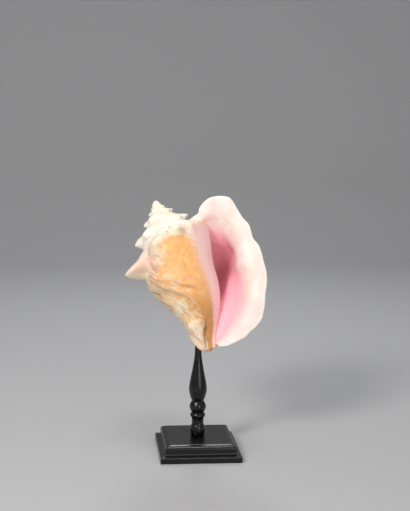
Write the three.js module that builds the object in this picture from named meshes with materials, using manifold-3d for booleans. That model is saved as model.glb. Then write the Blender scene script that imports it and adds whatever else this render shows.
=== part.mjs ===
// Conch shell on a turned wooden stand.
// Millimetres, +Z up, +Y away from the viewer, origin at the centre of the base's underside.

import * as THREE from 'three';
import { mergeVertices } from 'three/addons/utils/BufferGeometryUtils.js';
import Module from 'manifold-3d';

const wasm = await Module();
wasm.setup();

// Driving dimensions of the stand
const BASE_SIDE = 110;
const BASE_HEIGHT = 22.6;
const POST_TOP = 185.5;
const NECK_RADIUS = 4.2;
const FOOT_TENON_RADIUS = 8;
const FOOT_TENON_DEPTH = 11;
const FIT_GAP = 0.3;
const POST_SIDES = 20;

// Driving dimensions of the shell
const SHELL_LENGTH = 220;
const SHELL_TIP = new THREE.Vector3(14.7, -12, 146.5);
const LEAN_LEFT = 19.8;
const LEAN_BACK = 20;
const WALL = 0.02;
const RIM = 0.013;

// The shell's own frame: its axis is Z, from the siphonal tip at 0 to the apex at 1, in shell lengths.
// An angle of 0 is the lip's side, 90 the back, 180 the big spine and 270 the front. The whorls are
// counted in turns back from the lip, and an angle grows with the turn.
const LIP_ANGLE = -10;
const STEP_ANGLE = 7.2;
const THROAT_STEP = 2;
const OVERLAP_STEP = 52;

// Outlines of the last whorl, as [radius, height] of its suture, ramp, shoulder, flank, belly,
// waist, neck, canal and tip, at the turns where it is on the right, back, left and front.
const STATIONS = [
  { turn: 0.06, outline: [[.13, .755], [.26, .725], [.375, .67], [.42, .59], [.385, .48],
    [.29, .37], [.19, .24], [.11, .12], [.028, 0]] },
  { turn: 0.28, outline: [[.17, .735], [.235, .69], [.30, .62], [.31, .54], [.29, .44],
    [.225, .34], [.15, .23], [.10, .12], [.028, 0]] },
  { turn: 0.53, outline: [[.165, .73], [.205, .675], [.232, .605], [.236, .545], [.222, .455],
    [.175, .375], [.11, .254], [.08, .14], [.028, 0]] },
  { turn: 0.78, outline: [[.155, .765], [.20, .725], [.235, .68], [.24, .60], [.225, .48],
    [.19, .37], [.13, .25], [.085, .13], [.028, 0]] },
  { turn: 1.03, outline: [[.15, .80], [.205, .775], [.25, .73], [.25, .66], [.213, .50],
    [.193, .34], [.16, .252], [.10, .13], [.035, 0]] },
  { turn: 1.28, outline: [[.13, .83], [.16, .80], [.19, .76], [.18, .68], [.14, .52],
    [.11, .36], [.09, .25], [.07, .13], [.035, 0]] },
  { turn: 1.60, outline: [[.12, .83], [.14, .81], [.16, .77], [.15, .68], [.12, .52],
    [.10, .36], [.08, .25], [.06, .13], [.035, 0]] },
  { turn: 2.10, outline: [[.12, .83], [.14, .81], [.16, .77], [.15, .68], [.12, .52],
    [.10, .36], [.08, .25], [.06, .13], [.035, 0]] },
];
const SHOULDER = 2;
const LAST_POINT = 8;
const RAMP_ROWS = 3;
const BODY_ROWS = 2;

// The spire: each turn widens the shoulder by the same factor, and the crest carries knobs.
const GROWTH = 1.75;
const SPIRE_TURN = 1.03;
const SPIRE_RADIUS = 0.225;
const SPIRE_TURNS = 5;
const SPIRE_PITCH = 1.2;
const RAMP_SLOPE = 1.25;
const KNOB_ANGLE = 36;

// Spines of the last whorl, one every knob angle, starting behind the lip and going back along the turn.
const SPINE_HEIGHTS = [.035, .075, .095, .10, .108, .022, .02, .02, .02];
const BIG_SPINE = 0.03;
const BIG_SPINE_ANGLE = 19;
const KNOB_HALF_ANGLE = 13;
const SPINE_ABOVE = 1.05;
const SPINE_BELOW = 0.7;
const SPINE_TAPER = 1.4;
const SPINE_RISE = 0.12;

// Rim of the flared lip, from the spire over the upper lobe and down to the siphonal tip.
const LIP_RIM = [
  [.13, -.03, .79], [.189, -.05, .806], [.228, -.06, .817], [.25, -.07, .848], [.312, -.07, .878],
  [.386, -.06, .877], [.442, -.06, .838], [.461, -.07, .76], [.468, -.09, .695], [.489, -.11, .625],
  [.482, -.13, .535], [.497, -.14, .463], [.49, -.15, .391], [.474, -.15, .278], [.422, -.14, .172],
  [.384, -.13, .093], [.353, -.12, .05], [.292, -.10, .02], [.228, -.08, -.009], [.164, -.06, -.015],
  [.107, -.04, -.007], [.04, -.01, .03],
];
const LIP_COLUMNS = 9;
const LIP_HUB = new THREE.Vector3(.27, -.05, .42);
const LIP_EVERT = 0.3;
const LIP_REACH = 0.55;
const THROAT_PINCH = 0.45;
const LIP_OPENING = 0.9;

// The core: where the hollow inside the last whorl ends blind, and how far it lies under the wall.
const BLIND_START = 0.60;
const BLIND_END = 0.78;
const CORE_INSET = 0.012;
const SINK_START = 0.90;
const SINK_END = 1.06;
const TIP_DROP = 0.012;
const COLUMELLA_ROWS = 14;
const SPIRE_ROWS = 25;
const SPIRE_FOOT = 0.70;
const SPIRE_END = 0.997;

const radians = THREE.MathUtils.degToRad;
const clamp = THREE.MathUtils.clamp;
const smoothstep = THREE.MathUtils.smoothstep;

// Smooth curve through points: value at x, with each point's slope taken from its neighbours.
function through(xs, ys, x) {
  const last = xs.length - 1;
  const at = clamp(x, xs[0], xs[last]);
  let i = 0;
  while (i < last - 1 && at > xs[i + 1]) i += 1;
  const slope = (k) => {
    const a = Math.max(k - 1, 0);
    const b = Math.min(k + 1, last);
    return (ys[b] - ys[a]) / (xs[b] - xs[a]);
  };
  const width = xs[i + 1] - xs[i];
  const t = (at - xs[i]) / width;
  const rise = t * t * (3 - 2 * t);
  const leave = t * (1 - t) * (1 - t) * width * slope(i);
  const arrive = t * t * (1 - t) * width * slope(i + 1);
  return ys[i] * (1 - rise) + ys[i + 1] * rise + leave - arrive;
}

const turnAt = (angle) => (angle - LIP_ANGLE) / 360;
const polar = (radius, angle, height) => new THREE.Vector3(
  radius * Math.cos(radians(angle)),
  radius * Math.sin(radians(angle)),
  height,
);

// Outline points of the last whorl at any turn.
const TURNS = STATIONS.map((station) => station.turn);
const POINT_INDEX = STATIONS[0].outline.map((_, i) => i);
function outlineAt(turn) {
  const column = (i, k) => through(TURNS, STATIONS.map((station) => station.outline[i][k]), turn);
  return {
    radii: POINT_INDEX.map((i) => column(i, 0)),
    heights: POINT_INDEX.map((i) => column(i, 1)),
  };
}

// Radius of the last whorl's outline at a height, as a function made once for each turn.
function outlineRadius(turn) {
  const { radii, heights } = outlineAt(turn);
  const samples = 60;
  const curve = [];
  for (let k = 0; k <= samples; k += 1) {
    const i = (k / samples) * LAST_POINT;
    curve.push([through(POINT_INDEX, radii, i), through(POINT_INDEX, heights, i)]);
  }
  return (height) => {
    if (height > curve[0][1]) return 0;
    for (let k = 1; k <= samples; k += 1) {
      const [upperRadius, upperHeight] = curve[k - 1];
      const [lowerRadius, lowerHeight] = curve[k];
      if (height >= lowerHeight) {
        const t = (upperHeight - height) / Math.max(upperHeight - lowerHeight, 1e-6);
        return upperRadius + (lowerRadius - upperRadius) * clamp(t, 0, 1);
      }
    }
    return curve[samples][0];
  };
}

// Radius of one spire whorl: a ramp above its shoulder, a short wall below it, and knobs on the crest.
function spireRadius(turn, height) {
  const shoulder = SPIRE_RADIUS * GROWTH ** (SPIRE_TURN - turn);
  const rise = (height - (1 - SPIRE_PITCH * shoulder)) / shoulder;
  const angle = LIP_ANGLE + 360 * turn;
  const side = Math.cos(radians(angle));
  const beat = THREE.MathUtils.euclideanModulo(angle / KNOB_ANGLE + 0.5, 1) - 0.5;
  const size = (0.07 + 0.12 * side * side + 0.04 * side) * smoothstep(turn, SPIRE_TURN, SPIRE_TURN + 0.3);
  const knob = size * Math.exp(-((beat / 0.22) ** 2));
  if (rise < -0.45) return 0;
  const flank = rise > 0 ? 1 - RAMP_SLOPE * rise : 1 + 0.12 * Math.min(-rise, 0.5);
  if (flank <= 0) return 0;
  const lump = flank > 0.2 ? knob * Math.exp(-((rise / 0.16) ** 2)) : 0;
  return shoulder * (flank + lump);
}

// Core of the shell: the spire, the columella and the filled inner turns, as rings up the axis.
function coreRings() {
  const heights = [-TIP_DROP, -TIP_DROP * 0.6];
  for (let k = 0; k < COLUMELLA_ROWS; k += 1) heights.push(SPIRE_FOOT * (k / COLUMELLA_ROWS));
  for (let k = 0; k <= SPIRE_ROWS; k += 1) {
    heights.push(THREE.MathUtils.lerp(SPIRE_FOOT, SPIRE_END, k / SPIRE_ROWS));
  }
  const columns = [];
  for (let step = 0; step * STEP_ANGLE < 360; step += 1) {
    const angle = step * STEP_ANGLE;
    const turn = THREE.MathUtils.euclideanModulo(turnAt(angle), 1);
    const inner = outlineRadius(turn + 1);
    const outer = outlineRadius(Math.max(turn, TURNS[0]));
    const filled = smoothstep(turn, BLIND_START, BLIND_END);
    const inset = CORE_INSET * (1 - smoothstep(turn, SINK_START, 1));
    columns.push(heights.map((height) => {
      const foot = Math.sqrt(clamp(1 - (Math.max(-height, 0) / TIP_DROP) ** 2 * 0.8, 0, 1));
      let radius = Math.max(0.004, inner(height), filled * (outer(height) - inset));
      for (let n = 1; n <= SPIRE_TURNS; n += 1) radius = Math.max(radius, spireRadius(turn + n, height));
      return polar(radius * foot, angle, height);
    }));
  }
  return heights.map((_, k) => columns.map((column) => column[k]));
}

// How far the spines lift the last whorl's wall at an angle and an outline point.
function spineLift(angle, point) {
  let lift = 0;
  SPINE_HEIGHTS.forEach((height, k) => {
    const across = (angle - KNOB_ANGLE * (k + 1)) / (height > BIG_SPINE ? BIG_SPINE_ANGLE : KNOB_HALF_ANGLE);
    const along = (point - SHOULDER) / (point < SHOULDER ? SPINE_ABOVE : SPINE_BELOW);
    const nearness = clamp(1 - Math.hypot(across, along), 0, 1);
    lift = Math.max(lift, height * nearness ** SPINE_TAPER);
  });
  return lift;
}

// Rows of the wall, as places along the outline: close on the ramp, wider on the body.
const WALL_ROWS = [];
for (let k = 0; k < SHOULDER * RAMP_ROWS; k += 1) WALL_ROWS.push(k / RAMP_ROWS);
for (let k = SHOULDER * BODY_ROWS; k <= LAST_POINT * BODY_ROWS; k += 1) WALL_ROWS.push(k / BODY_ROWS);

// Wall of the last whorl and the flared lip: columns run along the growth, rows from suture to tip.
function wallGrid() {
  const columns = [];
  const angles = [];
  for (let step = OVERLAP_STEP; step >= THROAT_STEP; step -= 1) {
    const angle = step * STEP_ANGLE;
    const turn = turnAt(angle);
    const { radii, heights } = outlineAt(turn);
    const sunk = WALL * smoothstep(turn, SINK_START, SINK_END);
    columns.push(WALL_ROWS.map((point) => {
      const radius = Math.max(through(POINT_INDEX, radii, point) - sunk, 0.005);
      return polar(radius, angle, through(POINT_INDEX, heights, point));
    }));
    angles.push(angle);
  }
  const throat = columns[columns.length - 1];
  const rim = new THREE.CatmullRomCurve3(LIP_RIM.map((point) => new THREE.Vector3(...point)));
  const sweeps = throat.map((start, k) => {
    const along = WALL_ROWS[k] / LAST_POINT;
    const end = rim.getPointAt(along);
    const reach = start.distanceTo(end) * LIP_REACH;
    const flare = end.clone().sub(LIP_HUB);
    flare.y = LIP_EVERT * Math.hypot(flare.x, flare.z);
    const pinch = THROAT_PINCH * Math.exp(-(((along - 0.36) / 0.15) ** 2));
    const leave = new THREE.Vector3(LIP_OPENING * smoothstep(along, 0.5, 0.8) - pinch, -1, 0);
    return new THREE.CubicBezierCurve3(
      start,
      start.clone().addScaledVector(leave.normalize(), reach),
      end.clone().addScaledVector(flare.normalize(), -reach),
      end,
    );
  });
  for (let k = 1; k <= LIP_COLUMNS; k += 1) {
    columns.push(sweeps.map((sweep) => sweep.getPoint(k / LIP_COLUMNS)));
    angles.push(null);
  }
  return { columns, angles };
}

// Outward directions of a grid, from the differences between neighbours.
function gridNormals(grid) {
  const lastColumn = grid.length - 1;
  return grid.map((column, i) => column.map((_, k) => {
    const lastRow = column.length - 1;
    const growth = grid[Math.min(i + 1, lastColumn)][k].clone().sub(grid[Math.max(i - 1, 0)][k]);
    const down = column[Math.min(k + 1, lastRow)].clone().sub(column[Math.max(k - 1, 0)]);
    return growth.cross(down).normalize();
  }));
}

// The wall as two faces: the outer one carries the spines, and the lip thins towards its rim.
function wallFaces() {
  const { columns, angles } = wallGrid();
  const normals = gridNormals(columns);
  const throatColumn = columns.length - 1 - LIP_COLUMNS;
  const outer = [];
  const inner = [];
  columns.forEach((column, i) => {
    const flare = clamp((i - throatColumn) / LIP_COLUMNS, 0, 1);
    const thickness = THREE.MathUtils.lerp(WALL, RIM, flare * flare);
    outer.push(column.map((point, k) => {
      const lifted = point.clone().addScaledVector(normals[i][k], thickness * flare * 0.5);
      if (angles[i] === null) return lifted;
      const lift = spineLift(angles[i], WALL_ROWS[k]);
      return lifted.add(polar(lift, angles[i], lift * SPINE_RISE));
    }));
    inner.push(column.map((point, k) => point.clone()
      .addScaledVector(normals[i][k], thickness * (flare * 0.5 - 1))));
  });
  return { outer, inner };
}

// Closed body from triangles between listed points.
function bodyFrom(points, triangles) {
  const geometry = new THREE.BufferGeometry();
  geometry.setFromPoints(points);
  geometry.setIndex(triangles);
  return geometry;
}

// Rings of equal count joined in order and capped at both ends.
function ringBody(rings) {
  const count = rings[0].length;
  const points = rings.flat();
  const triangles = [];
  for (let r = 0; r + 1 < rings.length; r += 1) {
    for (let k = 0; k < count; k += 1) {
      const a = r * count + k;
      const b = r * count + ((k + 1) % count);
      triangles.push(a, b, b + count, a, b + count, a + count);
    }
  }
  const cap = (ring, offset, upward) => {
    const centre = ring.reduce((sum, p) => sum.add(p), new THREE.Vector3()).divideScalar(count);
    points.push(centre);
    const hub = points.length - 1;
    for (let k = 0; k < count; k += 1) {
      const a = offset + k;
      const b = offset + ((k + 1) % count);
      triangles.push(hub, upward ? a : b, upward ? b : a);
    }
  };
  cap(rings[0], 0, false);
  cap(rings[rings.length - 1], (rings.length - 1) * count, true);
  return bodyFrom(points, triangles);
}

// Two matching grids closed round their edges.
function sheetBody(outer, inner) {
  const rows = outer[0].length;
  const columns = outer.length;
  const points = [...outer.flat(), ...inner.flat()];
  const half = columns * rows;
  const triangles = [];
  const quad = (a, b, c, d) => triangles.push(a, b, c, a, c, d);
  for (let i = 0; i + 1 < columns; i += 1) {
    for (let k = 0; k + 1 < rows; k += 1) {
      const a = i * rows + k;
      const b = a + rows;
      quad(a, b, b + 1, a + 1);
      quad(half + a, half + a + 1, half + b + 1, half + b);
    }
  }
  for (let i = 0; i + 1 < columns; i += 1) {
    const top = i * rows;
    const foot = top + rows - 1;
    quad(top + rows, top, half + top, half + top + rows);
    quad(foot, foot + rows, half + foot + rows, half + foot);
  }
  const end = (columns - 1) * rows;
  for (let k = 0; k + 1 < rows; k += 1) {
    quad(k, k + 1, half + k + 1, half + k);
    quad(end + k + 1, end + k, half + end + k, half + end + k + 1);
  }
  return bodyFrom(points, triangles);
}

// Turned body from [radius, height] points that start and end on the axis.
function turnedBody(profile, sides) {
  const points = profile.map(([radius, height]) => new THREE.Vector2(radius, height));
  return new THREE.LatheGeometry(points, sides).rotateX(Math.PI / 2);
}

function solidFrom(geometry) {
  const bare = geometry.clone();
  bare.deleteAttribute('normal');
  bare.deleteAttribute('uv');
  const merged = mergeVertices(bare, 1e-4);
  return new wasm.Manifold(new wasm.Mesh({
    numProp: 3,
    vertProperties: new Float32Array(merged.attributes.position.array),
    triVerts: new Uint32Array(merged.index.array),
  }));
}

function geometryFrom(solid) {
  const mesh = solid.getMesh();
  const geometry = new THREE.BufferGeometry();
  geometry.setAttribute('position', new THREE.BufferAttribute(new Float32Array(mesh.vertProperties), 3));
  geometry.setIndex([...mesh.triVerts]);
  return geometry;
}

// Largest connected surface of a solid, so that no sealed pocket is left inside it.
function withoutPockets(solid) {
  return solid.decompose().reduce((a, b) => (b.volume() > a.volume() ? b : a));
}

// Upright drilling from a start height to a flat bottom.
function drill(radius, from, to) {
  return solidFrom(turnedBody([[0, from], [radius, from], [radius, to], [0, to]], POST_SIDES));
}

// Shell: core and wall grown into one, stood on its tip and drilled for the post.
function shellGeometry() {
  const { outer, inner } = wallFaces();
  const place = new THREE.Matrix4()
    .makeTranslation(SHELL_TIP.x, SHELL_TIP.y, SHELL_TIP.z)
    .multiply(new THREE.Matrix4().makeRotationY(-radians(LEAN_LEFT)))
    .multiply(new THREE.Matrix4().makeRotationX(-radians(LEAN_BACK)))
    .scale(new THREE.Vector3(SHELL_LENGTH, SHELL_LENGTH, SHELL_LENGTH));
  const core = solidFrom(ringBody(coreRings()).applyMatrix4(place));
  const wall = solidFrom(sheetBody(outer, inner).applyMatrix4(place));
  const hole = drill(NECK_RADIUS + FIT_GAP, SHELL_TIP.z - SHELL_LENGTH * 0.1, POST_TOP + FIT_GAP);
  return geometryFrom(withoutPockets(core.add(wall).subtract(hole)));
}

// Post: a tenon in the base, a foot, two rings, a baluster and a slim neck that ends in the shell.
function postGeometry() {
  const seat = BASE_HEIGHT + FIT_GAP;
  const swell = (low, high, waist, belly, count) => {
    const points = [];
    for (let k = 0; k <= count; k += 1) {
      const t = k / count;
      points.push([waist + (belly - waist) * Math.sin(Math.PI * t), low + (high - low) * t]);
    }
    return points;
  };
  const baluster = new THREE.SplineCurve([
    [8.2, 71.5], [10.6, 78], [12.3, 88], [10.5, 101.5], [8.5, 111.4], [6.8, 121.2], [5.2, 132], [NECK_RADIUS, 150],
  ].map(([radius, height]) => new THREE.Vector2(radius, height)));
  return turnedBody([
    [0, seat - FOOT_TENON_DEPTH],
    [FOOT_TENON_RADIUS, seat - FOOT_TENON_DEPTH],
    [FOOT_TENON_RADIUS, seat],
    ...swell(seat, 37.2, 8.8, 10.1, 4),
    [8.1, 37.6],
    [8.1, 46.9],
    ...swell(47.2, 54.8, 8.3, 10.4, 4),
    ...swell(55.4, 70.6, 8.4, 11.3, 6),
    ...baluster.getPoints(12).map((point) => [point.x, point.y]),
    [NECK_RADIUS, POST_TOP],
    [0, POST_TOP],
  ], POST_SIDES);
}

// Base: a square moulding with mitred corners, in two steps, with a socket for the post's tenon.
function baseGeometry() {
  const half = BASE_SIDE / 2;
  const steps = [
    [0, 0], [half, 0], [half, 7.3], [half - 0.8, 8.2], [half - 6.2, 10.2], [half - 6.8, 10.8],
    [half - 7, 17.6], [half - 7.8, 19.2], [half - 9.4, 20.8], [half - 13.2, 21.9], [half - 13.5, BASE_HEIGHT],
    [0, BASE_HEIGHT],
  ];
  const corner = Math.SQRT2;
  const points = steps.map(([reach, height]) => new THREE.Vector2(reach * corner, height));
  const block = new THREE.LatheGeometry(points, 4, Math.PI / 4).rotateX(Math.PI / 2);
  const floor = BASE_HEIGHT + FIT_GAP - FOOT_TENON_DEPTH - FIT_GAP;
  const socket = drill(FOOT_TENON_RADIUS + FIT_GAP, floor, BASE_HEIGHT + 1);
  return geometryFrom(solidFrom(block).subtract(socket));
}

function piece(name, geometry, colour, roughness) {
  const material = new THREE.MeshStandardMaterial({ color: colour, roughness, metalness: 0 });
  const mesh = new THREE.Mesh(geometry, material);
  mesh.name = name;
  return mesh;
}

const conch = new THREE.Group();
conch.add(
  piece('shell', shellGeometry(), 0xf0cdb4, 0.45),
  piece('post', postGeometry(), 0x14110f, 0.35),
  piece('base', baseGeometry(), 0x14110f, 0.35),
);

export default conch;
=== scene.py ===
import itertools
import math

import bpy
import numpy as np
from mathutils import Matrix, Vector, kdtree


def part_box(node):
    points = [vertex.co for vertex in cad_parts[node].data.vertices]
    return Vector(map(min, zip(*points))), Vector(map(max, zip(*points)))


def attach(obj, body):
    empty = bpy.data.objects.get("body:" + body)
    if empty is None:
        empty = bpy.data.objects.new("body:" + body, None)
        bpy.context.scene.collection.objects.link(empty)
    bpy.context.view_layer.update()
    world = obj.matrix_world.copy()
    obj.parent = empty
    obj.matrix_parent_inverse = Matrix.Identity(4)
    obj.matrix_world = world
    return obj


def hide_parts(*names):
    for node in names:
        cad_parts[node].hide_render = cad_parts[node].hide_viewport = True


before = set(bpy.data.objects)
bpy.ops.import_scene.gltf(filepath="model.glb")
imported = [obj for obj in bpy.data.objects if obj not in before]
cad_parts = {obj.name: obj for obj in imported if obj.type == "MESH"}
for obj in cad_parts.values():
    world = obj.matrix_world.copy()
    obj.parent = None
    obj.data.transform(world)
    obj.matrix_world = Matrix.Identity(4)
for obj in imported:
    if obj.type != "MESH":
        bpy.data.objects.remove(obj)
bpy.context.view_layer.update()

# Driving dimensions, from the frame, with a millimetre taken from the 110 mm wide base
base_low, base_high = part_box("base")
BASE_SIDE = base_high.x - base_low.x
BASE_HEIGHT = base_high.z
POST_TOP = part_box("post")[1].z
MM = BASE_SIDE / 110
SHELL_LENGTH = 2 * BASE_SIDE

# Pose of the shell: its siphonal tip, and how its axis leans
SHELL_TIP = Vector((14.7, -12.0, 146.5)) * MM
LEAN_LEFT = 19.8
LEAN_BACK = 20.0

# The shell's own frame: its axis is Z, from the siphonal tip at 0 to the apex at 1, in shell lengths.
# An angle of 0 is the lip's side, 90 the back, 180 the big spine and 270 the front. The whorls are
# counted in turns back from the lip, and an angle grows with the turn.
LIP_ANGLE = -10.0
THROAT_ANGLE = 14.4
OVERLAP_ANGLE = 374.4
WALL = 0.02
WALL_LEAST = 0.005
RIM = 0.013

# Outlines of the last whorl, as (radius, height) of its suture, ramp, shoulder, flank, belly, waist,
# neck, canal and tip. Turn 0.06 is on the right, 0.28 at the back, 0.53 on the left and 0.78 in front.
STATIONS = {
    0.06: [(.15, .765), (.26, .67), (.365, .59), (.41, .53), (.38, .45),
           (.29, .36), (.19, .24), (.11, .12), (.028, 0)],
    0.28: [(.17, .75), (.235, .675), (.30, .58), (.31, .515), (.29, .43),
           (.225, .34), (.15, .23), (.10, .12), (.028, 0)],
    0.53: [(.168, .745), (.198, .675), (.224, .575), (.226, .525), (.214, .45),
           (.175, .375), (.11, .254), (.08, .14), (.028, 0)],
    0.65: [(.16, .77), (.192, .722), (.226, .655), (.236, .58), (.224, .47),
           (.183, .375), (.12, .252), (.082, .135), (.028, 0)],
    0.78: [(.155, .795), (.20, .765), (.236, .725), (.243, .635), (.228, .49),
           (.19, .37), (.13, .25), (.085, .13), (.028, 0)],
    1.03: [(.15, .80), (.205, .78), (.25, .735), (.24, .645), (.206, .51),
           (.19, .36), (.157, .245), (.09, .12), (.035, 0)],
    1.28: [(.13, .83), (.16, .80), (.19, .76), (.18, .68), (.14, .52),
           (.11, .36), (.09, .25), (.07, .13), (.035, 0)],
    1.60: [(.12, .83), (.14, .81), (.16, .77), (.15, .68), (.12, .52),
           (.10, .36), (.08, .25), (.06, .13), (.035, 0)],
    2.10: [(.12, .83), (.14, .81), (.16, .77), (.15, .68), (.12, .52),
           (.10, .36), (.08, .25), (.06, .13), (.035, 0)],
}
TURNS = np.array(list(STATIONS))
OUTLINES = np.array(list(STATIONS.values()))
SHOULDER = 2
LAST_POINT = 8
POINT_INDEX = np.arange(LAST_POINT + 1)

# The spire: each turn widens the shoulder by the same factor, and the crest carries knobs
GROWTH = 1.75
SPIRE_TURN = 1.03
SPIRE_RADIUS = 0.225
SPIRE_TURNS = 5
SPIRE_PITCH = 1.2
RAMP_SLOPE = 1.25
WALL_SLOPE = 0.1
WALL_DEPTH = 0.45
KNOB_ANGLE = 45.0
KNOB_SHRINK = 0.75
KNOB_SIZE = 0.16
KNOB_SIDES = 0.12
KNOB_LEFT = 0.04
KNOB_VARY = 0.25
KNOB_SAG = 0.08
KNOB_WIDTH = 0.42
KNOB_DEPTH = 0.32
KNOB_BLUNT = 0.02
KNOB_GAIN = 1.6
KNOB_TAPER = 1.4
SUTURE_FILL = 0.009
SPIRE_FOOT = 0.70
SPIRE_END = 0.997
TIP_DROP = 0.012
APEX_ROUND = 0.02

# Spines and knobs of the last whorl, as (angle, height, half angle), going back from the lip
SPINES = [
    (34, .035, 21), (66, .07, 21), (98, .085, 21), (131, .07, 22), (196, .13, 28),
    (246, .05, 19), (282, .045, 16), (306, .016, 11),
]
LOW_KNOB = 0.06
SPINE_ABOVE = 1.05
SPINE_BELOW = 0.85
SPINE_TAPER = 1.45
SPINE_RISE = 0.02
SPINE_BLUNT = 0.1

# Rim of the flared lip, from the spire over the upper lobe and down to the siphonal tip
LIP_RIM = np.array([
    (.13, -.03, .79), (.189, -.05, .806), (.228, -.06, .817), (.25, -.07, .848), (.312, -.07, .878),
    (.386, -.06, .877), (.442, -.06, .838), (.461, -.07, .76), (.468, -.09, .695), (.489, -.11, .625),
    (.482, -.13, .535), (.497, -.14, .463), (.49, -.15, .391), (.474, -.15, .278), (.422, -.14, .172),
    (.384, -.13, .093), (.353, -.12, .05), (.292, -.10, .02), (.228, -.08, -.009), (.164, -.06, -.02),
    (.107, -.05, -.022), (.05, -.03, -.006),
])
LIP_HUB = np.array((.27, -.05, .42))
LIP_EVERT = 0.3
LIP_REACH = 0.55
THROAT_PINCH = 0.45
LIP_OPENING = 2.0
LIP_GROWTH = 40
THROAT_RISE = 0.9
RIM_ROUND = 0.03
RIM_CHIPS = 0.005
CEILING_DROP = 0.17
LIP_WAVES = 0.005
CANAL_FILL = 0.07

# Growth lines slant round the shell by this many degrees in a shell length
GROWTH_SLANT = 294
GROOVE_SLANT = 264

# Relief of the outer face, deeper on the flank, and the twisted ridge at the tip with its groove
FOLD_DEPTH = 0.006
FLANK_FOLDS = 0.006
CREASE_DEPTH = 0.003
FLANK_CREASES = 0.002
LUMP_DEPTH = 0.003
RIDGE_TOP = 0.178
RIDGE_WANDER = 0.022
RIDGE_HEIGHT = 0.026
GROOVE_DEPTH = 0.006
CORE_LUMPS = 0.0042

# The core: where the hollow inside the last whorl ends blind, and how far it lies under the wall
BLIND_START = 0.60
BLIND_END = 0.78
CORE_INSET = 0.018
CORE_LEAST = 0.004
CORE_SEAM = 150
END_ROUND = 0.96
CORE_PROUD = 0.0004
INSET_START = 0.84
INSET_END = 0.925
SINK_START = 0.93
SINK_END = 1.04

# The orange panel beside the aperture: its middle and half width in degrees, at places down the outline
PANEL_PLACES = [2, 4, 5, 6, 7, 8]
PANEL_MIDDLES = [276, 278, 289, 297, 303, 280]
PANEL_HALVES = [25, 28, 22, 22, 20, 24]

# The stand, in millimetres: the post's tenon and the holes drilled for the post
TENON_LENGTH = 11
TENON_RADIUS = 8
SEAT_GAP = 0.3
SOCKET_RADIUS = 8.3
HOLE_RADIUS = 4.5
HOLE_BELOW = 20
HOLE_ABOVE = 0.3

# Mesh steps
CORE_COLUMNS = 240
COLUMELLA_ROWS = 64
SPIRE_ROWS = 120
WALL_COLUMNS = 272
LIP_COLUMNS = 52
RAMP_ROWS = 34
BODY_ROWS = 80
OUTLINE_STEPS = 161
RIM_STEPS = 1201
HOLE_SIDES = 48
SOCKET_SIDES = 64
POST_SIDES = 96


def smooth(value, low=0.0, high=1.0):
    """Rises from 0 at low to 1 at high with level ends."""
    t = np.clip((np.asarray(value, float) - low) / (high - low), 0, 1)
    return t * t * (3 - 2 * t)


def bell(value, width):
    return np.exp(-(np.asarray(value) / width) ** 2)


def lattice(cells):
    """A fixed number between -1 and 1 for each whole-number place."""
    mixed = cells @ np.array([73856093, 19349663, 83492791])
    mixed = ((mixed ^ (mixed >> 13)) * 1274126177) & 0x7FFFFFFF
    mixed = (mixed ^ (mixed >> 15)) & 0xFFFF
    return mixed / 0x7FFF - 1


def noise(points):
    """Smooth noise between -1 and 1, with about one lump to each unit of length."""
    cell = np.floor(points).astype(np.int64)
    part = smooth(points - cell)
    total = np.zeros(points.shape[:-1])
    for corner in itertools.product((0, 1), repeat=3):
        weight = np.prod(np.where(corner, part, 1 - part), axis=-1)
        total += weight * lattice(cell + np.array(corner))
    return total


def noise_at(x, y, z):
    return noise(np.stack(np.broadcast_arrays(x, y, z), axis=-1))


def through(xs, ys, x):
    """Smooth curve through points, with each point's slope taken from its neighbours."""
    xs = np.asarray(xs, float)
    ys = np.asarray(ys, float)
    last = len(xs) - 1
    before = np.maximum(np.arange(last + 1) - 1, 0)
    after = np.minimum(np.arange(last + 1) + 1, last)
    shape = (-1,) + (1,) * (ys.ndim - 1)
    slopes = (ys[after] - ys[before]) / (xs[after] - xs[before]).reshape(shape)
    at = np.clip(np.atleast_1d(x), xs[0], xs[last])
    i = np.clip(np.searchsorted(xs, at) - 1, 0, last - 1)
    width = (xs[i + 1] - xs[i]).reshape(shape)
    t = (at - xs[i]).reshape(shape) / width
    rise = t * t * (3 - 2 * t)
    leave = t * (1 - t) ** 2 * width * slopes[i]
    arrive = t * t * (1 - t) * width * slopes[i + 1]
    return ys[i] * (1 - rise) + ys[i + 1] * rise + leave - arrive


def turn_at(angle):
    return (np.asarray(angle) - LIP_ANGLE) / 360


def polar(radius, angle, height):
    turned = np.radians(angle)
    return np.stack(np.broadcast_arrays(radius * np.cos(turned), radius * np.sin(turned), height), axis=-1)


def unit(vectors):
    return vectors / np.maximum(np.linalg.norm(vectors, axis=-1, keepdims=True), 1e-9)


def outline_curve(turn, places):
    """Radius and height of the last whorl's outline at one turn, at places along it."""
    points = through(TURNS, OUTLINES, turn)[0]
    return through(POINT_INDEX, points, places).T


def outline_radius(turn, heights):
    places = np.linspace(0, LAST_POINT, OUTLINE_STEPS)
    radius, height = outline_curve(turn, places)
    found = np.interp(heights, height[::-1], radius[::-1])
    return np.where(heights > height[0], 0, found)


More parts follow.
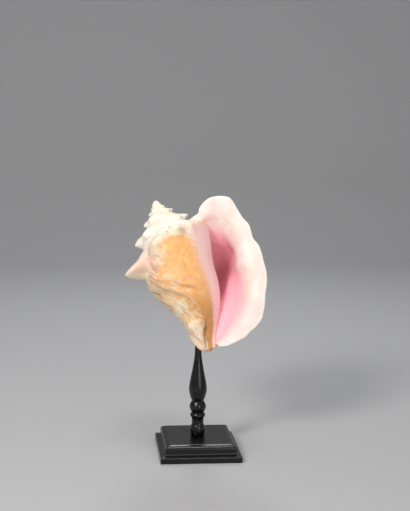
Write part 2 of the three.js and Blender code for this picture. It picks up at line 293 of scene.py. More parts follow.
def spire_radius(turn, heights):
    """One spire whorl: a ramp above its shoulder, a short wall below it, and knobs on the crest."""
    shoulder = SPIRE_RADIUS * GROWTH ** (SPIRE_TURN - turn)
    rise = (heights - (1 - SPIRE_PITCH * shoulder)) / shoulder
    angle = LIP_ANGLE + 360 * turn
    side = math.cos(math.radians(angle))
    beat = (angle / KNOB_ANGLE + 0.5) % 1 - 0.5
    knob = np.array([round(angle / KNOB_ANGLE), 0, 0])
    size = KNOB_SIZE + KNOB_SIDES * side ** 2 - KNOB_LEFT * side
    size = size * smooth(turn, SPIRE_TURN, SPIRE_TURN + 0.3)
    size *= KNOB_SHRINK ** (turn - SPIRE_TURN) * (1 + KNOB_VARY * lattice(knob))
    sag = KNOB_SAG - KNOB_SAG * side
    flank = np.where(rise > 0, 1 - RAMP_SLOPE * rise, 1 - WALL_SLOPE * np.minimum(-rise, 0.5))
    away = np.sqrt((beat / KNOB_WIDTH) ** 2 + ((rise + sag) / KNOB_DEPTH) ** 2 + KNOB_BLUNT)
    near = np.clip(1 - away, 0, 1)
    lump = np.where(flank > 0.2, KNOB_GAIN * size * near ** KNOB_TAPER, 0)
    return np.where((rise < -WALL_DEPTH) | (flank <= 0), 0, shoulder * (flank + lump))


def core_grid():
    """The spire, the columella and the filled inner turns, as columns of points up the axis.

    Each radius is a soft maximum of the layers, which fills the sutures between them.
    """
    heights = np.concatenate([
        -TIP_DROP * np.array([1, 0.9, 0.75, 0.5, 0.25]),
        np.linspace(0, SPIRE_FOOT, COLUMELLA_ROWS, endpoint=False),
        np.linspace(SPIRE_FOOT, SPIRE_END, SPIRE_ROWS),
    ])
    angles = np.linspace(0, 360, CORE_COLUMNS, endpoint=False)
    foot = np.sqrt(1 - END_ROUND * (np.maximum(-heights, 0) / TIP_DROP) ** 2)
    crown = np.sqrt(1 - END_ROUND * np.maximum(1 - (SPIRE_END - heights) / APEX_ROUND, 0) ** 2)
    radii = []
    for angle in angles:
        turn = turn_at(angle) % 1
        filled = smooth(turn, BLIND_START, BLIND_END)
        inset = CORE_INSET - (CORE_INSET + CORE_PROUD) * smooth(turn, INSET_START, INSET_END)
        layers = [np.full(len(heights), CORE_LEAST), outline_radius(turn + 1, heights) + CORE_PROUD]
        layers.append(filled * (outline_radius(max(turn, TURNS[0]), heights) - inset))
        layers += [spire_radius(turn + n, heights) for n in range(1, SPIRE_TURNS + 1)]
        joined = np.log(np.exp(np.array(layers) / SUTURE_FILL).sum(axis=0))
        radii.append(SUTURE_FILL * joined * foot * crown)
    angles = np.broadcast_to(angles[:, None], (CORE_COLUMNS, len(heights)))
    heights = np.broadcast_to(heights, angles.shape)
    return np.array(radii), angles, heights


def spine_distance(angle, place, middle, half):
    """Distance from a spine's centre, 1 at its foot, with a rounded tip."""
    across = (angle - middle) / half
    along = (place - SHOULDER) / np.where(place < SHOULDER, SPINE_ABOVE, SPINE_BELOW)
    return np.sqrt(across ** 2 + along ** 2 + SPINE_BLUNT ** 2) - SPINE_BLUNT


def spine_lift(angle, place):
    """How far the spines lift the last whorl's wall."""
    lift = np.zeros(np.broadcast(angle, place).shape)
    for middle, height, half in SPINES:
        near = np.clip(1 - spine_distance(angle, place, middle, half), 0, 1)
        lift = np.maximum(lift, height * near ** SPINE_TAPER)
    return lift


def knob_foot_shade(angle, place):
    """Rings of painted shade round the feet of the low knobs, where each knob meets the wall."""
    foot_shade = np.zeros(np.broadcast(angle, place).shape)
    for middle, height, half in SPINES:
        if height < LOW_KNOB:
            foot_shade = np.maximum(foot_shade, bell(spine_distance(angle, place, middle, half) - 0.75, 0.25))
    return foot_shade


def spine_tips(angle, place):
    """Worn chalky tips of the tall spines."""
    tips = np.zeros(np.broadcast(angle, place).shape)
    for middle, height, half in SPINES:
        if height >= LOW_KNOB:
            tips = np.maximum(tips, 1 - smooth(spine_distance(angle, place, middle, half), 0.05, 0.5))
    return tips


def rim_points(places):
    """Points of the lip's rim at even lengths along it."""
    fine = through(np.arange(len(LIP_RIM)), LIP_RIM, np.linspace(0, len(LIP_RIM) - 1, RIM_STEPS))
    run = np.concatenate([[0], np.cumsum(np.linalg.norm(np.diff(fine, axis=0), axis=1))])
    return np.stack([np.interp(places * run[-1], run, fine[:, k]) for k in range(3)], axis=-1)


def wall_grid(places, flares):
    """Columns of points along the growth of the last whorl, then over the flared lip."""
    angles = np.linspace(OVERLAP_ANGLE, THROAT_ANGLE, WALL_COLUMNS + 1)
    columns = []
    for angle in angles:
        turn = turn_at(angle)
        radius, height = outline_curve(turn, places)
        sunk = WALL * smooth(turn, SINK_START, SINK_END)
        columns.append(polar(np.maximum(radius - sunk, WALL_LEAST), angle, height))
    start = columns[-1]
    along = places / LAST_POINT
    end = rim_points(along)
    chips = noise_at(along * 34, 0.0, 0.5)
    end += unit(end - LIP_HUB) * (RIM_CHIPS * chips * smooth(along, 0.1, 0.2))[:, None]
    reach = LIP_REACH * np.linalg.norm(end - start, axis=1, keepdims=True)
    flare = end - LIP_HUB
    flare[:, 1] = LIP_EVERT * np.hypot(flare[:, 0], flare[:, 2])
    pinch = THROAT_PINCH * bell(along - 0.36, 0.15)
    sideways = LIP_OPENING * smooth(along, 0.5, 0.8) - pinch
    upward = THROAT_RISE * (1 - smooth(along, 0.15, 0.42))
    leave = np.stack([sideways, -np.ones_like(along), upward], axis=-1)
    second = start + unit(leave) * reach
    third = end - unit(flare) * reach
    for t in flares[1:]:
        columns.append((1 - t) ** 3 * start + 3 * t * (1 - t) ** 2 * second
                       + 3 * t * t * (1 - t) * third + t ** 3 * end)
    return np.array(columns), angles


def grid_normals(grid):
    growth = np.gradient(grid, axis=0)
    down = np.gradient(grid, axis=1)
    return unit(np.cross(growth, down))


# Places along the outline, and steps of the lip that crowd towards its rim
wall_places = np.concatenate([
    np.linspace(0, SHOULDER, RAMP_ROWS, endpoint=False),
    np.linspace(SHOULDER, LAST_POINT, BODY_ROWS),
])
lip_flares = np.sin(np.linspace(0, 1, LIP_COLUMNS + 1) * math.pi / 2)

# Wall faces: the outer one carries the spines and the growth marks, and the lip ends in a round rim
wall, wall_angles = wall_grid(wall_places, lip_flares)
wall_normals = grid_normals(wall)
flare = np.concatenate([np.zeros(WALL_COLUMNS), lip_flares])[:, None]
lip_run = np.linspace(0, 1, LIP_COLUMNS + 1)[1:] * LIP_GROWTH
growth_angle = np.concatenate([wall_angles, THROAT_ANGLE - lip_run])[:, None]
place = np.broadcast_to(wall_places, wall.shape[:2])
height = wall[..., 2]
thickness = WALL + (RIM - WALL) * flare ** 2
rim_edge = np.clip((flare - 1 + RIM_ROUND) / RIM_ROUND, 0, 1)
roundness = np.sqrt(1 - 0.98 * rim_edge ** 2)

# Growth lines, warped a little, carry broad folds and thin creases, with lumps over all
growth = growth_angle + GROWTH_SLANT * height
warp = noise(wall * 9)
lines = growth + 16 * warp
folds = noise_at(lines / 15, place * 0.8, growth_angle / 70)
thin = noise_at(lines / 8, place * 0.7 + 7, growth_angle / 90)
patches = smooth(noise(wall * 7 + 3), -0.4, 0.3)
under_shoulder = smooth(place, 2.4, 3.2)
creases = smooth(1 - np.abs(thin), 0.72, 1) * patches * under_shoulder
lumps = noise(wall * 22) + 0.5 * noise(wall * 46)
flank = smooth(place, 2.8, 4.6) * (1 - smooth(growth_angle, 285, 305)) * smooth(growth_angle, 140, 180)
fold_depth = FOLD_DEPTH + FLANK_FOLDS * flank
crease_depth = CREASE_DEPTH + FLANK_CREASES * flank
relief = fold_depth * folds - crease_depth * creases + LUMP_DEPTH * lumps

# The twisted ridge at the tip, with a groove behind it and a broken one along its top
groove_angle = 260 + GROOVE_SLANT * (height - 0.033)
groove_wander = 9 * noise(wall * 16)
behind = growth_angle - groove_angle + groove_wander
ridge_top = RIDGE_TOP + RIDGE_WANDER * noise(wall * 12)
low = (1 - smooth(height - ridge_top, -0.022, 0.012)) * smooth(height, -0.02, 0.03)
ridge = low * smooth(behind, -110, -60) * (1 - smooth(behind, -16, 0))
top_groove = bell(height - ridge_top - 0.008, 0.009) * smooth(behind, -110, -70)
top_groove = top_groove * (1 - smooth(behind, -8, 4))
groove = np.maximum(low * bell(behind, 8), 0.6 * top_groove * smooth(lumps, -0.4, 0.5))
relief = relief + RIDGE_HEIGHT * ridge - GROOVE_DEPTH * groove

# Outer face: the relief fades out under the next whorl and at the rim, and the spines lift it outwards
lift = np.where(growth_angle >= THROAT_ANGLE, spine_lift(growth_angle, place), 0)
spine_way = polar(np.ones_like(lift), np.broadcast_to(growth_angle, lift.shape), SPINE_RISE)
hidden = smooth(growth_angle, 270, 300)
outside = relief * (1 - hidden) * (1 - rim_edge)
outer = wall + wall_normals * (thickness * roundness * flare * 0.5 + outside)[..., None]
outer += spine_way * lift[..., None]

# Inner face: waves on the lip, a ceiling that drops into the throat, and a filled canal at the foot
inner = wall + wall_normals * (thickness * (flare * 0.5 - 1) + (1 - roundness) * thickness * 0.5)[..., None]
lip_waves = LIP_WAVES * noise_at(flare * 4.5, place * 0.9, warp * 0.5) * smooth(flare, 0.3, 0.6)
lip_waves = lip_waves * (1 - smooth(flare, 0.85, 0.97))
inner += wall_normals * lip_waves[..., None]
ceiling = CEILING_DROP * smooth(growth_angle, THROAT_ANGLE - 16, 80) * (1 - smooth(place, 0.2, 5.5))
ceiling *= 1 - smooth(growth_angle, 50, 85) * smooth(place, 2.8, 4.0)
inner[..., 2] -= ceiling
canal = smooth(place, 5.4, 6.8) * (1 - smooth(flare, 0, 0.35)) * (1 - smooth(growth_angle, 20, 60))
inner[..., 0] -= CANAL_FILL * canal

# Core, with chalky lumps on the spire
core_radius, core_angle, core_height = core_grid()
core_bare = polar(core_radius, core_angle, core_height)
core_lumps = noise(core_bare * 24) + 0.5 * noise(core_bare * 70)
core_chalk = smooth(core_height, 0.72, 0.80)
core = polar(core_radius + CORE_LUMPS * core_chalk * core_lumps, core_angle, core_height)

# From the shell's own frame to the shared one
place_shell = (
    Matrix.Translation(SHELL_TIP)
    @ Matrix.Rotation(-math.radians(LEAN_LEFT), 4, "Y")
    @ Matrix.Rotation(-math.radians(LEAN_BACK), 4, "X")
    @ Matrix.Scale(SHELL_LENGTH, 4)
)


def scene_object(name, data):
    made = bpy.data.objects.new(name, data)
    bpy.context.scene.collection.objects.link(made)
    return made


def mesh_object(name, points, faces):
    mesh = bpy.data.meshes.new(name)
    mesh.from_pydata(np.asarray(points).tolist(), [], [tuple(face) for face in faces])
    mesh.validate()
    return scene_object(name, mesh)


def grid_faces(columns, rows, start=0, closed=False):
    """Four-sided faces between neighbouring columns of a grid."""
    i = np.arange(columns if closed else columns - 1)[:, None]
    k = np.arange(rows - 1)[None, :]
    a = i * rows + k
    b = (i + 1) % columns * rows + k
    return (start + np.stack([a, b, b + 1, a + 1], axis=-1)).reshape(-1, 4)


def tube_faces(columns, rows):
    """Faces of a closed ring of columns, with a flat cap at each end."""
    faces = grid_faces(columns, rows, closed=True).tolist()
    faces.append([i * rows for i in range(columns - 1, -1, -1)])
    faces.append([i * rows + rows - 1 for i in range(columns)])
    return faces


def core_object():
    return mesh_object("core", core.reshape(-1, 3), tube_faces(*core.shape[:2]))


def wall_object():
    columns, rows = outer.shape[:2]
    half = columns * rows
    front = grid_faces(columns, rows)
    back = grid_faces(columns, rows, half)[:, ::-1]
    top = np.arange(columns) * rows
    side = np.arange(rows)
    end = (columns - 1) * rows + side
    edges = [top[::-1], side, top + rows - 1, end[::-1]]
    strips = [np.stack([e[1:], e[:-1], e[:-1] + half, e[1:] + half], axis=-1)[:, ::-1] for e in edges]
    faces = np.concatenate([front, back] + strips)
    return mesh_object("wall", np.concatenate([outer.reshape(-1, 3), inner.reshape(-1, 3)]), faces)


def turned_object(name, profile, sides):
    """Body of revolution from (radius, height) points, closed at both ends."""
    turn = np.linspace(0, 2 * math.pi, sides, endpoint=False)[:, None]
    radius, level = np.asarray(profile, float).T
    points = np.stack(np.broadcast_arrays(radius * np.cos(turn), radius * np.sin(turn), level), axis=-1)
    return mesh_object(name, points.reshape(-1, 3), tube_faces(sides, len(profile)))


def combine(target, operation, other):
    step = target.modifiers.new(operation, "BOOLEAN")
    step.solver = "MANIFOLD"
    step.operation = operation
    step.object = other


def worked_mesh(made):
    """The object's mesh with its modifiers applied."""
    graph = bpy.context.evaluated_depsgraph_get()
    return bpy.data.meshes.new_from_object(made.evaluated_get(graph))


def shell_mesh():
    """Core and wall grown into one, drilled for the post."""
    body = core_object()
    skin = wall_object()
    radius = HOLE_RADIUS * MM
    foot = SHELL_TIP.z - HOLE_BELOW * MM
    top = POST_TOP + HOLE_ABOVE * MM
    hole = turned_object("hole", [(radius, foot), (radius, top)], HOLE_SIDES)
    hole.data.transform(place_shell.inverted())
    combine(body, "UNION", skin)
    combine(body, "DIFFERENCE", hole)
    mesh = worked_mesh(body)
    for made in (body, skin, hole):
        bpy.data.objects.remove(made)
    return mesh


def nearest_source(mesh):
    """For each point of the joined mesh, the point of the core, outer or inner grid it came from."""
    sources = np.concatenate([core.reshape(-1, 3), outer.reshape(-1, 3), inner.reshape(-1, 3)])
    tree = kdtree.KDTree(len(sources))
    for index, point in enumerate(sources):
        tree.insert(point, index)
    tree.balance()
    return np.array([tree.find(vertex.co)[1] for vertex in mesh.vertices])


def stacked(core_values, outer_values, inner_values):
    """Values of the three source grids in one row, in the order of nearest_source."""
    shape = outer.shape[:2]
    return np.concatenate([
        np.broadcast_to(core_values, core.shape[:2]).ravel(),
        np.broadcast_to(outer_values, shape).ravel(),
        np.broadcast_to(inner_values, shape).ravel(),
    ])


def surface_marks():
    """Where each colour of the shell lies, as named values on the source grids.

    All run from 0 to 1 but "growth", which counts growth lines in hundreds of degrees.
    """
    # Grid values: the core's angle goes on from the wall's, and its places follow the whorl inside the lip
    core_turned = np.where(core_angle < CORE_SEAM, core_angle + 360, core_angle)
    inner_height = outline_curve(SPIRE_TURN, wall_places)[1]
    core_place = np.interp(core_height, inner_height[::-1], wall_places[::-1])
    angle = stacked(core_turned, growth_angle, growth_angle)
    spot = stacked(core_place, place, place)
    level = stacked(core_height, height, height)
    opened = stacked(0, flare, flare)
    inside = stacked(0, 0, 1)
    on_core = stacked(1, 0, 0)

    # Chalk: the core above its suture, and further down at the back, the ramp and the tips of tall spines
    suture = through(TURNS, OUTLINES[:, 0, 1], turn_at(core_angle[:, 0]) % 1)[:, None]
    drop = 0.02 + 0.08 * (1 - smooth(np.abs(core_angle - 95), 90, 115))
    bared = smooth(core_height - suture + drop, 0, 0.02)
    worn = np.maximum(1 - smooth(place, 1.2, 2.2), spine_tips(growth_angle, place))
    spire = stacked(np.maximum(bared, smooth(core_height, 0.74, 0.79)), worn, 0)

    # Orange panel, with a fainter spill to its left
    panel_middle = np.interp(spot, PANEL_PLACES, PANEL_MIDDLES)
    panel_half = np.interp(spot, PANEL_PLACES, PANEL_HALVES)
    panel_top = 2.15 + 0.7 * smooth(angle, 268, 308)
    off_panel = (angle - panel_middle) / panel_half
    orange = (1 - smooth(np.abs(off_panel), 0.5, 1.5)) * smooth(spot - panel_top, 0, 0.3) * (1 - inside)
    spill = 0.62 * (1 - smooth(-off_panel, 1.0, 3.2)) * (1 - smooth(off_panel, 0.3, 0.8))
    spill = spill * smooth(spot, 2.9, 3.6) * (1 - smooth(spot, 6.4, 7.2)) * (1 - inside)
    orange = np.maximum(orange, spill)

    # Pink band between the panel and the aperture, rose in the throat, and a blush that fades over the lip
    band = smooth(off_panel, 0.45, 1.4) * smooth(spot, 1.7, 2.5) * (1 - inside) * (1 - spire)
    deep_core = smooth(angle, 372, 420) * smooth(level, 0.0, 0.05) * on_core * (1 - spire)
    throat = (1 - smooth(opened - 0.22 * smooth(spot, 4.0, 6.0), 0.03, 0.36)) * inside
    blush = (1 - smooth(opened - 0.3 * smooth(spot, 4.5, 6.5), 0.18, 0.54)) * inside
    rim_white = smooth(opened, 0.95, 0.985)
    gloss = np.maximum(np.maximum(inside, band), 0.5 * orange)
    return {
        "orange": orange,
        "pink": np.maximum(band, blush),
        "rose": np.maximum(deep_core, throat),
        "lip": inside,
        "rim": rim_white,
        "gloss": gloss,
        "spire": spire,
        "crease": stacked(0, creases * (1 - hidden), 0),
        "fold": stacked(0, 0.5 + 0.5 * folds, 0),
        # Painted shade: brown in the groove behind the tip's ridge and along its top
        "groove": stacked(0, groove, 0),
        "ridge": stacked(0, ridge, 0),
        "smudge": stacked(0, 0, bell(place - 0.9, 0.5) * bell(flare - 0.6, 0.2)),
        "hood": stacked(0, 0, bell(place - 1.9, 0.9) * bell(flare - 0.62, 0.3)),
        # Painted shade: the hollow between the big spine and knob B
        "valley_shade": stacked(0, bell(growth_angle - 220, 20) * bell(place - 2.3, 1.1), 0),
        # Painted shade: rings round the feet of the low knobs
        "foot_shade": stacked(0, knob_foot_shade(growth_angle, place), 0),
        "growth": stacked(core_turned + GROWTH_SLANT * core_height, growth, growth) / 100,
        "spot": spot / LAST_POINT,
    }


def srgb(red, green, blue):
    """A colour read from an ordinary screen, as linear light."""
    scaled = np.array([red, green, blue]) / 255
    linear = np.where(scaled <= 0.04045, scaled / 12.92, ((scaled + 0.055) / 1.055) ** 2.4)
    return (*linear, 1.0)


# Colours of the shell's outside
CHALK = srgb(250, 236, 218)
CHALK_PALE = srgb(255, 249, 239)
SAND = srgb(253, 232, 202)
SAND_STREAK = srgb(240, 198, 146)
SAND_ROSY = srgb(247, 206, 184)
SAND_LOW = srgb(232, 190, 134)
SAND_PALE = srgb(255, 242, 212)
RIDGE_TAN = srgb(241, 219, 198)
FOLD_TAN = srgb(232, 186, 138)
HAIR_BROWN = srgb(178, 124, 70)
# Painted shade: pink for the hollow between the big spine and knob B
VALLEY_SHADE_PINK = srgb(249, 200, 186)
STAIN_BROWN = srgb(168, 116, 72)
# Painted shade: brown for the groove by the tip
GROOVE_SHADE_BROWN = srgb(150, 98, 54)
# Painted shade: brown for the rings round the knobs' feet
FOOT_SHADE_BROWN = srgb(140, 108, 82)
SPECK_BROWN = srgb(120, 96, 80)

# Colours of the orange panel
AMBER = srgb(252, 196, 134)
AMBER_DEEP = srgb(246, 176, 106)
AMBER_PALE = srgb(251, 204, 152)
AMBER_BLOTCH = srgb(226, 164, 98)
AMBER_LOW = srgb(194, 138, 80)
AMBER_STRIPE = srgb(190, 124, 66)

# Colours of the lip and the throat
CREAM = srgb(252, 238, 230)
CREAM_ROSY = srgb(247, 227, 219)
CREAM_DULL = srgb(238, 220, 206)
HOOD_TAN = srgb(224, 206, 192)
SMUDGE_PINK = srgb(246, 196, 204)
BLUSH = srgb(255, 205, 205)
BLUSH_PALE = srgb(255, 216, 212)
ROSE = srgb(252, 183, 195)
RIM_WHITE = srgb(255, 250, 242)

# Colours of the stand and the floor
WOOD_DARK = srgb(7, 7, 9)
WOOD_LIGHT = srgb(14, 13, 15)
PAPER = srgb(186, 187, 190)


class Shader:
    """Short ways to add and join nodes in one material."""

    def __init__(self, name):
        self.material = bpy.data.materials.new(name)
        self.material.use_nodes = True
        self.tree = self.material.node_tree
        self.surface = self.tree.nodes["Principled BSDF"]

    def put(self, socket, value):
        if isinstance(value, bpy.types.NodeSocket):
            self.tree.links.new(value, socket)
        else:
            socket.default_value = value

    def node(self, kind, inputs, **settings):
        made = self.tree.nodes.new(kind)
        for name, value in settings.items():
            setattr(made, name, value)
        for key, value in inputs.items():
            self.put(made.inputs[key], value)
        return made

    def mark(self, name):
        return self.node("ShaderNodeAttribute", {}, attribute_name=name).outputs["Fac"]

    def place(self):
        return self.node("ShaderNodeTexCoord", {}).outputs["Object"]

    def math(self, operation, a, b=0.0):
        return self.node("ShaderNodeMath", {0: a, 1: b}, operation=operation).outputs[0]

    def times(self, a, b):
        return self.math("MULTIPLY", a, b)

    def mix(self, factor, a, b):
        made = self.node("ShaderNodeMix", {0: factor, 6: a, 7: b}, data_type="RGBA")
        return made.outputs[2]

    def rise(self, value, low, high, start=0.0, end=1.0):
        inputs = {"Value": value, "From Min": low, "From Max": high, "To Min": start, "To Max": end}
        made = self.node("ShaderNodeMapRange", inputs, interpolation_type="SMOOTHSTEP")
        return made.outputs["Result"]

    def noise(self, vector, scale, detail=3.0, roughness=0.5):
        inputs = {"Vector": vector, "Scale": scale, "Detail": detail, "Roughness": roughness}
        return self.node("ShaderNodeTexNoise", inputs).outputs["Fac"]

    def vector(self, x, y, z=0.0):
        return self.node("ShaderNodeCombineXYZ", {0: x, 1: y, 2: z}).outputs[0]

    def bump(self, height, distance, strength, before=None):
        inputs = {"Height": height, "Distance": distance, "Strength": strength}
        if before is not None:
            inputs["Normal"] = before
        return self.node("ShaderNodeBump", inputs).outputs["Normal"]

    def finish(self, **inputs):
        for name, value in inputs.items():
            self.put(self.surface.inputs[name.replace("_", " ")], value)
        return self.material


class ShellNoise:
    """Noises that several colours of the shell share."""

    def __init__(self, s):
        self.here = s.place()
        self.broad = s.noise(self.here, 38, 3)
        self.middle = s.noise(self.here, 120, 4, 0.6)
        self.grain = s.noise(self.here, 620, 3, 0.6)
        along = s.times(s.mark("growth"), 9)
        down = s.times(s.mark("spot"), 9)
        self.streaks = s.noise(s.vector(along, down, self.broad), 2.2, 4, 0.65)
        self.lower = s.rise(s.mark("spot"), 0.31, 0.45)


def hair_lines(s, n):
    """Thin broken growth lines below the shoulder."""
    along = s.times(s.mark("growth"), 26)
    down = s.times(s.mark("spot"), 14)
    wander = s.noise(s.vector(along, down, s.times(n.middle, 4)), 1.4, 2)
    line = s.math("ABSOLUTE", s.math("SUBTRACT", wander, 0.5))
    share = s.times(s.rise(line, 0.03, 0.0), s.rise(n.middle, 0.42, 0.62, 0, 0.6))
    return s.times(share, n.lower)


def outside_colour(s, n):
    """Chalky spire and streaked flank, with stains and specks, and painted shade: pink in the hollow below
    knob B, brown in the tip's groove and round the feet of the low knobs.
    """
    flank = s.mix(s.times(s.rise(n.streaks, 0.35, 0.65), n.lower), SAND, SAND_STREAK)
    flank = s.mix(s.rise(n.middle, 0.45, 0.7, 0, 0.7), flank, SAND_ROSY)
    flank = s.mix(s.rise(s.mark("spot"), 0.5, 0.75, 0, 0.25), flank, SAND_LOW)
    flank = s.mix(s.rise(n.broad, 0.52, 0.66, 0, 0.6), flank, SAND_PALE)
    flank = s.mix(s.times(s.mark("ridge"), 0.55), flank, RIDGE_TAN)
    flank = s.mix(s.rise(s.mark("fold"), 0.45, 0.15, 0, 0.5), flank, FOLD_TAN)
    flank = s.mix(hair_lines(s, n), flank, HAIR_BROWN)
    chalk = s.mix(s.rise(n.broad, 0.35, 0.65), CHALK, CHALK_PALE)
    colour = s.mix(s.mark("spire"), flank, chalk)
    # Painted shade: a pink tint in the hollow between the big spine and knob B
    colour = s.mix(s.times(s.mark("valley_shade"), 0.75), colour, VALLEY_SHADE_PINK)
    stain = s.times(s.mark("crease"), s.rise(n.broad, 0.35, 0.6, 0.15, 0.75))
    colour = s.mix(stain, colour, STAIN_BROWN)
    # Painted shade: brown in the groove behind the tip's ridge and along its top
    colour = s.mix(s.times(s.mark("groove"), 0.8), colour, GROOVE_SHADE_BROWN)
    # Painted shade: patchy brown rings round the feet of the low knobs
    patchy_foot_shade = s.times(s.mark("foot_shade"), s.rise(s.noise(n.here, 190, 4, 0.7), 0.52, 0.66, 0, 0.75))
    colour = s.mix(patchy_foot_shade, colour, FOOT_SHADE_BROWN)
    specks = s.rise(s.noise(n.here, 340, 2, 0.4), 0.70, 0.76, 0, 0.7)
    return s.mix(s.times(specks, s.rise(n.broad, 0.42, 0.6)), colour, SPECK_BROWN)


def panel_colour(s, n):
    """Orange panel beside the aperture, darker and striped towards the tip."""
    amber = s.mix(s.rise(n.middle, 0.3, 0.72), AMBER, AMBER_DEEP)
    amber = s.mix(s.rise(n.broad, 0.4, 0.7, 0, 0.4), amber, AMBER_PALE)
    amber = s.mix(s.rise(s.noise(n.here, 150, 4, 0.65), 0.5, 0.75, 0, 0.5), amber, AMBER_BLOTCH)
    amber = s.mix(s.rise(s.mark("spot"), 0.62, 0.82, 0, 0.85), amber, AMBER_LOW)
    stripes = s.times(s.rise(n.streaks, 0.5, 0.7), s.rise(s.mark("spot"), 0.5, 0.75, 0.08, 0.4))
    return s.mix(stripes, amber, AMBER_STRIPE)


def lip_colour(s, n):
    """Cream lip with duller clouds, a shaded hood and a pink smudge near its top."""
    cream = s.mix(s.rise(n.broad, 0.35, 0.68), CREAM, CREAM_ROSY)
    cream = s.mix(s.rise(s.noise(n.here, 26, 3), 0.48, 0.66, 0, 0.7), cream, CREAM_DULL)
    cream = s.mix(s.times(s.mark("hood"), s.rise(n.broad, 0.3, 0.6, 0.3, 0.8)), cream, HOOD_TAN)
    return s.mix(s.times(s.mark("smudge"), 0.6), cream, SMUDGE_PINK)


def shell_material():
    s = Shader("shell_lime")
    n = ShellNoise(s)
    ragged = s.math("ADD", s.mark("orange"), s.math("SUBTRACT", s.times(n.middle, 1.7), 0.85))
    colour = s.mix(s.rise(ragged, 0.15, 0.85), outside_colour(s, n), panel_colour(s, n))
    colour = s.mix(s.mark("lip"), colour, lip_colour(s, n))
    blush = s.mix(s.rise(n.broad, 0.3, 0.7), BLUSH, BLUSH_PALE)
    colour = s.mix(s.mark("pink"), colour, blush)
    colour = s.mix(s.mark("rose"), colour, ROSE)
    colour = s.mix(s.mark("rim"), colour, RIM_WHITE)

    gloss = s.mark("gloss")
    dull = s.rise(n.grain, 0.3, 0.7, 0.5, 0.68)
    shiny = s.rise(n.middle, 0.3, 0.7, 0.4, 0.5)
    roughness = s.node("ShaderNodeMix", {0: gloss, 2: dull, 3: shiny}).outputs[0]
    rough_share = s.math("SUBTRACT", 1.0, s.times(gloss, 0.85))
    pits = s.bump(n.grain, 0.0006, s.times(rough_share, 0.55))
    ripples = s.bump(n.streaks, 0.0012, s.times(s.times(rough_share, n.lower), 0.25), pits)
    return s.finish(Base_Color=colour, Roughness=roughness, Normal=ripples, Subsurface_Weight=0.12,
                    Subsurface_Radius=(0.006, 0.003, 0.002), Subsurface_Scale=1.0,
                    Specular_IOR_Level=0.35)


def wood_material():
    s = Shader("ebonised_wood")
    here = s.place()
    stretched = s.node("ShaderNodeMapping", {"Vector": here, "Scale": (1.0, 1.0, 0.12)}).outputs[0]
    grain = s.noise(stretched, 900, 4, 0.6)
    worn = s.noise(here, 60, 4, 0.6)
    colour = s.mix(s.rise(grain, 0.4, 0.7), WOOD_DARK, WOOD_LIGHT)
    roughness = s.rise(worn, 0.3, 0.7, 0.22, 0.3)
    return s.finish(Base_Color=colour, Roughness=roughness, Normal=s.bump(grain, 0.0003, 0.3),
                    Specular_IOR_Level=0.35, Coat_Weight=0.15, Coat_Roughness=0.15)


def smooth_shaded(made):
    made.data.polygons.foreach_set("use_smooth", np.ones(len(made.data.polygons), bool))


def make_shell(material):
    mesh = shell_mesh()
    source = nearest_source(mesh)
    for name, values in surface_marks().items():
        layer = mesh.attributes.new(name, "FLOAT", "POINT")
        layer.data.foreach_set("value", values[source].astype(np.float32))
    mesh.transform(place_shell)
    made = scene_object("conch", mesh)
    smooth_shaded(made)
    made.data.materials.clear()
    made.data.materials.append(material)
    return made


def swell(low, high, waist, belly, count=12):
    """Profile of a bead between two heights."""
    t = np.linspace(0, 1, count + 1)
    return np.stack([waist + (belly - waist) * np.sin(math.pi * t), low + (high - low) * t], axis=-1)


def make_post(material):
    """The turned baluster, drawn in millimetres from its tenon up."""
    seat = BASE_HEIGHT / MM + SEAT_GAP
    top = POST_TOP / MM
    baluster = np.array([
        (8.2, 71.5), (10.6, 78), (12.3, 88), (10.5, 101.5),
        (8.5, 111.4), (6.8, 121.2), (5.2, 132), (4.2, 150),
    ])
    profile = np.concatenate([
        [(TENON_RADIUS, seat - TENON_LENGTH), (TENON_RADIUS, seat)],
        swell(seat, 37.2, 8.8, 10.1),
        [(8.4, 37.4), (8.1, 37.9), (8.1, 46.6), (8.3, 47.0)],
        swell(47.2, 54.8, 8.3, 10.4),
        [(8.1, 55.1)],
        swell(55.4, 70.6, 8.4, 11.3),
        [(8.0, 71.0)],
        through(np.arange(len(baluster)), baluster, np.linspace(0, len(baluster) - 1, 60)),
        [(4.2, top - 0.4), (3.8, top)],
    ])
    made = turned_object("turned_post", profile * MM, POST_SIDES)
    smooth_shaded(made)
    made.data.materials.append(material)
    return made


def square_ring(half, level, corner, steps=5):
    """Points of a square with rounded corners, anticlockwise."""
    points = []
    for k in range(4):
        quarter = math.radians(90 * k)
        centre = (half - corner) * math.sqrt(2)
        middle = quarter + math.pi / 4
        for turn in np.linspace(quarter, quarter + math.pi / 2, steps):
            x = centre * math.cos(middle) + corner * math.cos(turn)
            y = centre * math.sin(middle) + corner * math.sin(turn)
            points.append((x, y, level))
    return points


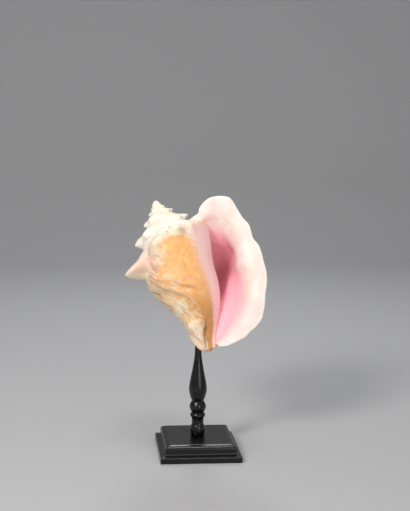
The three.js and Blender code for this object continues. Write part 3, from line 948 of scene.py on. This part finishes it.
def make_base(material):
    """The square block with its moulded steps, drawn in millimetres, and the socket for the tenon."""
    half = BASE_SIDE / MM / 2
    top = BASE_HEIGHT / MM
    steps = [
        (half - 0.5, 0), (half, 0.5), (half, 6.9), (half - 0.25, 7.6),
        (half - 0.9, 8.2), (half - 6.0, 10.1), (half - 6.6, 10.5), (half - 6.8, 11.2),
        (half - 7, 17.2), (half - 7.3, 18.4), (half - 8.1, 19.6), (half - 9.4, 20.7),
        (half - 11.2, 21.5), (half - 13.0, 21.9), (half - 13.4, 22.2), (half - 13.9, top),
    ]
    corner = 0.8 * MM
    rings = [square_ring(reach * MM, level * MM, corner) for reach, level in steps]
    points = np.array(rings).transpose(1, 0, 2).reshape(-1, 3)
    made = mesh_object("plinth", points, tube_faces(len(rings[0]), len(rings)))
    drill = np.array([(SOCKET_RADIUS, top - TENON_LENGTH), (SOCKET_RADIUS, top + 2)])
    socket = turned_object("socket", drill * MM, SOCKET_SIDES)
    combine(made, "DIFFERENCE", socket)
    made.data = worked_mesh(made)
    made.modifiers.clear()
    bpy.data.objects.remove(socket)
    made.data.materials.clear()
    made.data.materials.append(material)
    return made


def make_light(name, position, size, power, colour):
    """A round area light turned to the middle of the shell, in metres and watts."""
    light = bpy.data.lights.new(name, "AREA")
    light.shape = "DISK"
    light.size = size
    light.energy = power
    light.color = colour
    made = scene_object(name, light)
    made.location = position
    target = Vector((0, 0, 250)) * MM
    made.rotation_euler = (target - made.location).to_track_quat("-Z", "Y").to_euler()


def make_stage():
    """A pale floor that curves up into a backdrop, in metres, and a pale sky."""
    reach = 9.0
    bend = 1.6
    sweep = [(-reach, 0.0), (bend, 0.0)]
    sweep += [(bend + math.sin(t), 1 - math.cos(t)) for t in np.linspace(0.1, math.pi / 2, 12)]
    sweep.append((bend + 1, 3.5))
    points = [(x, y, z) for y, z in sweep for x in (-reach, reach)]
    faces = [(2 * k, 2 * k + 1, 2 * k + 3, 2 * k + 2) for k in range(len(sweep) - 1)]
    floor = mesh_object("floor", points, faces)
    smooth_shaded(floor)
    s = Shader("floor_paper")
    floor.data.materials.append(s.finish(Base_Color=PAPER, Roughness=0.8))
    world = bpy.data.worlds.new("studio")
    world.use_nodes = True
    sky = world.node_tree.nodes["Background"]
    sky.inputs["Color"].default_value = (1.0, 0.99, 0.98, 1.0)
    sky.inputs["Strength"].default_value = 0.38
    bpy.context.scene.world = world


def make_camera():
    """The photograph's viewing angle, with the distance and lens fitted to the base's perspective."""
    yaw = math.radians(3.25)
    pitch = math.radians(8.6)
    data = bpy.data.cameras.new("camera")
    data.sensor_width = 36
    data.lens = 72.42
    data.shift_x = 0.12
    made = scene_object("camera", data)
    made.location = Vector((-152, -1363, 480)) * MM
    ahead = Vector((math.sin(yaw) * math.cos(pitch), math.cos(yaw) * math.cos(pitch), -math.sin(pitch)))
    made.rotation_euler = ahead.to_track_quat("-Z", "Y").to_euler()
    bpy.context.scene.camera = made


wood = wood_material()
for piece, node, slot in (
    (make_shell(shell_material()), "shell", "shell"),
    (make_post(wood), "post", "stand_wood"),
    (make_base(wood), "base", "stand_wood"),
):
    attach(piece, "root")
    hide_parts(node)

make_stage()
make_camera()
make_light("key", (-1.0, -1.2, 1.25), size=0.5, power=21, colour=(1.0, 0.97, 0.93))
make_light("front", (0.6, -1.6, 0.5), size=0.9, power=6.2, colour=(1.0, 0.98, 0.96))
make_light("back", (0.1, 1.15, 1.35), size=0.5, power=6, colour=(1.0, 1.0, 1.0))
make_light("top", (0.1, -0.25, 1.5), size=0.35, power=2.2, colour=(1.0, 1.0, 1.0))
bpy.context.scene.view_settings.view_transform = "Standard"
